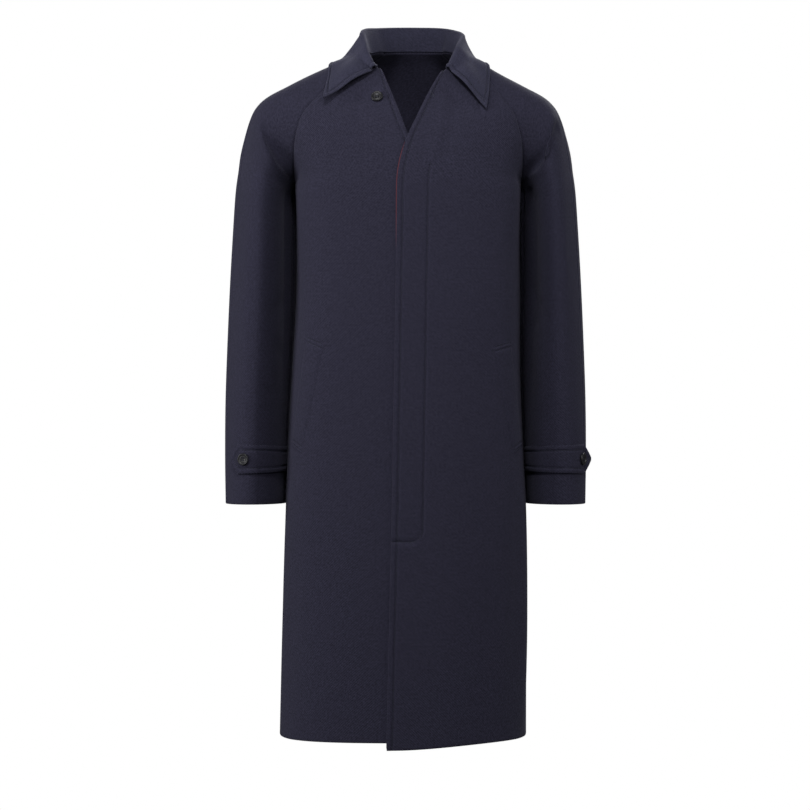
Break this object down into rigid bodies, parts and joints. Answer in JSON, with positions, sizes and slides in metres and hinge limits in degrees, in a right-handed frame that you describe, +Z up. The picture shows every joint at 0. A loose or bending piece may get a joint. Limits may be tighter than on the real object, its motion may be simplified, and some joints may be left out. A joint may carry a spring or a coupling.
{
  "type": "raglan coat",
  "caption": "Knee-length raglan coat in its worn, hollow form, with a turned-down collar, hidden fly front, slanted welt pockets and buttoned cuff tabs.",
  "frame": {"origin": "base of the neck, midway between the wearer's shoulders, which hold the coat", "axes": "+Z up along the wearer, -Y out of the coat's front, +X to the wearer's left"},
  "size_m": [0.5655, 0.3054, 1.1128],
  "materials": {
    "shell_wool": "matt navy wool with a short nap",
    "collar_wool": "matt navy wool with a short nap",
    "button_horn": "polished dark horn",
    "wine_piping": "matt wine-red tape"
  },
  "bodies": {
    "root": {"front_left": "shell_wool", "front_right": "shell_wool", "back": "shell_wool", "sleeve_front_left": "shell_wool", "sleeve_front_right": "shell_wool", "sleeve_back_left": "shell_wool", "sleeve_back_right": "shell_wool", "collar_stand": "collar_wool", "collar_fall": "collar_wool", "pocket_welt_left": "shell_wool", "pocket_welt_right": "shell_wool", "cuff_strap_left": "shell_wool", "cuff_strap_right": "shell_wool", "cuff_button_left": "button_horn", "cuff_button_right": "button_horn", "neck_button": "button_horn", "fly_piping": "wine_piping"}
  },
  "joints": []
}
